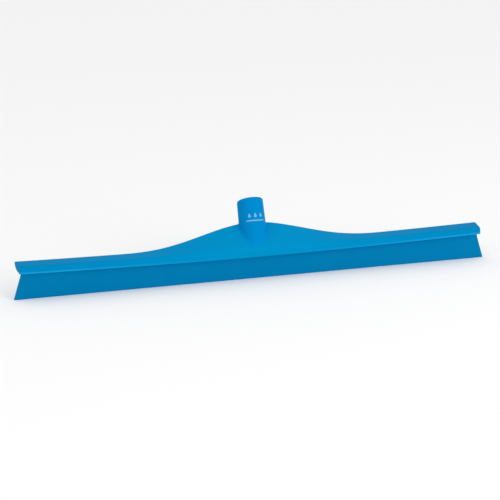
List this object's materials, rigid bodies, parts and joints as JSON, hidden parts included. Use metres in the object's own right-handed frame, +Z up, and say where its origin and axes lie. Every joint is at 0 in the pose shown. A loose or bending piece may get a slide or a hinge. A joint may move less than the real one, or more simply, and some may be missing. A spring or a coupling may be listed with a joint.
{
  "type": "floor squeegee head",
  "caption": "Wide floor squeegee head: a moulded plastic frame with a threaded handle socket that leans back, and a full-width rubber blade that bends.",
  "frame": {"origin": "centre of the handle socket's mouth, on the handle's axis", "axes": "+X along the blade, -Y ahead of the blade, +Y back towards the handle, +Z up when the wiping edge stands on the floor"},
  "size_m": [0.6, 0.0541, 0.0946],
  "materials": {
    "frame_plastic": "satin moulded",
    "blade_rubber": "smooth matt"
  },
  "bodies": {
    "frame_body": {"frame": "frame_plastic", "blade_root": "blade_rubber"},
    "blade_body": {"blade_lip": "blade_rubber"}
  },
  "joints": [
    {"name": "blade_bend", "type": "hinge", "parent": "frame_body", "child": "blade_body", "pos_m": [0, -0.03277, -0.06522], "axis": [1, 0, 0], "range_deg": [-30, 30], "stiffness_Nm_per_rad": 2.4}
  ]
}
